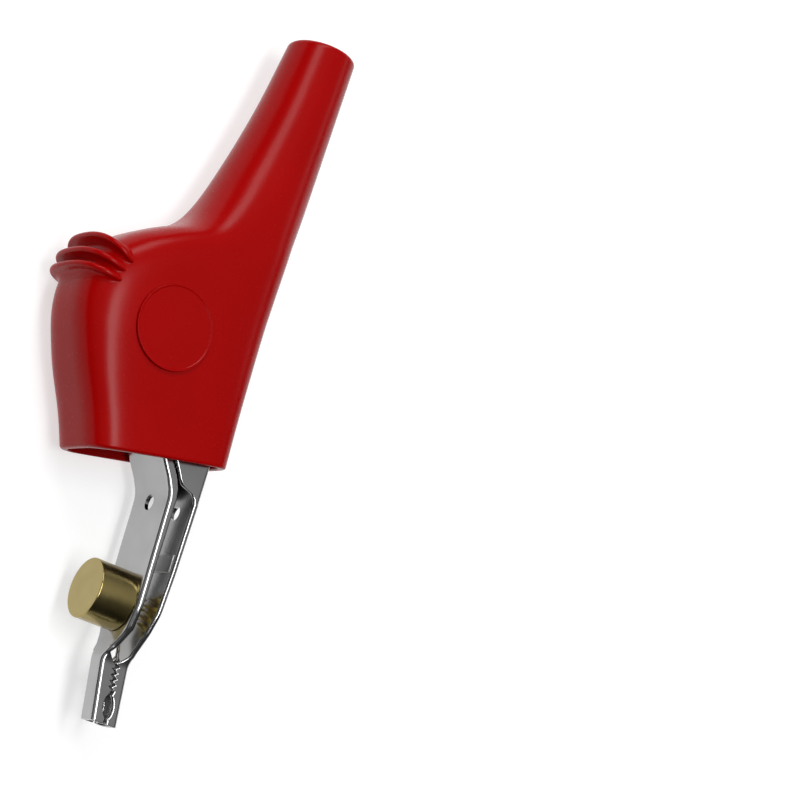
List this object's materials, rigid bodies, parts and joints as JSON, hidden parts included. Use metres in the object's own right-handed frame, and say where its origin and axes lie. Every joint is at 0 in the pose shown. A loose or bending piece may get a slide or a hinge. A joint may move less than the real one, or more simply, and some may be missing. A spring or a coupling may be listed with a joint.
{
  "type": "insulated test clip",
  "caption": "Spring-jawed electrical test clip in a soft red boot, with a brass nail cup on one jaw, toothed nose, thumb ribs and a bored neck for a cord.",
  "frame": {"origin": "centre of the bounding box in plan, at the underside of the ring pad that the clip lies on", "axes": "+X from the cord neck to the nose, +Y from the thumb ribs to the spine, +Z along the hinge pin, upwards when the clip lies on its flat side"},
  "size_m": [0.0838, 0.0278, 0.0127],
  "materials": {
    "red_vinyl": "glossy soft vinyl",
    "nickel_steel": "nickel-plated pressed steel",
    "spring_steel": "plain spring wire",
    "brass": "satin turned brass",
    "nail_brass": "bright brass"
  },
  "bodies": {
    "boot_and_lower_jaw": {"boot": "red_vinyl", "lower_jaw": "nickel_steel", "hinge_pin": "nickel_steel", "torsion_spring": "spring_steel", "terminal_screw": "nickel_steel"},
    "upper_jaw_and_nails": {"upper_jaw": "nickel_steel", "nail_cup": "brass", "nail_retainer": "brass", "nail_01": "nail_brass", "nail_02": "nail_brass", "nail_03": "nail_brass", "nail_04": "nail_brass", "nail_05": "nail_brass", "nail_06": "nail_brass", "nail_07": "nail_brass", "nail_08": "nail_brass", "nail_09": "nail_brass", "nail_10": "nail_brass", "nail_11": "nail_brass", "nail_12": "nail_brass"}
  },
  "joints": [
    {"name": "jaw_hinge", "type": "hinge", "parent": "boot_and_lower_jaw", "child": "upper_jaw_and_nails", "pos_m": [0.00675, 0.0058, 0.00635], "axis": [0, 0, -1], "range_deg": [0, 25], "stiffness_Nm_per_rad": 0.004, "springref_deg": -42.97, "deforming": ["torsion_spring"]}
  ]
}
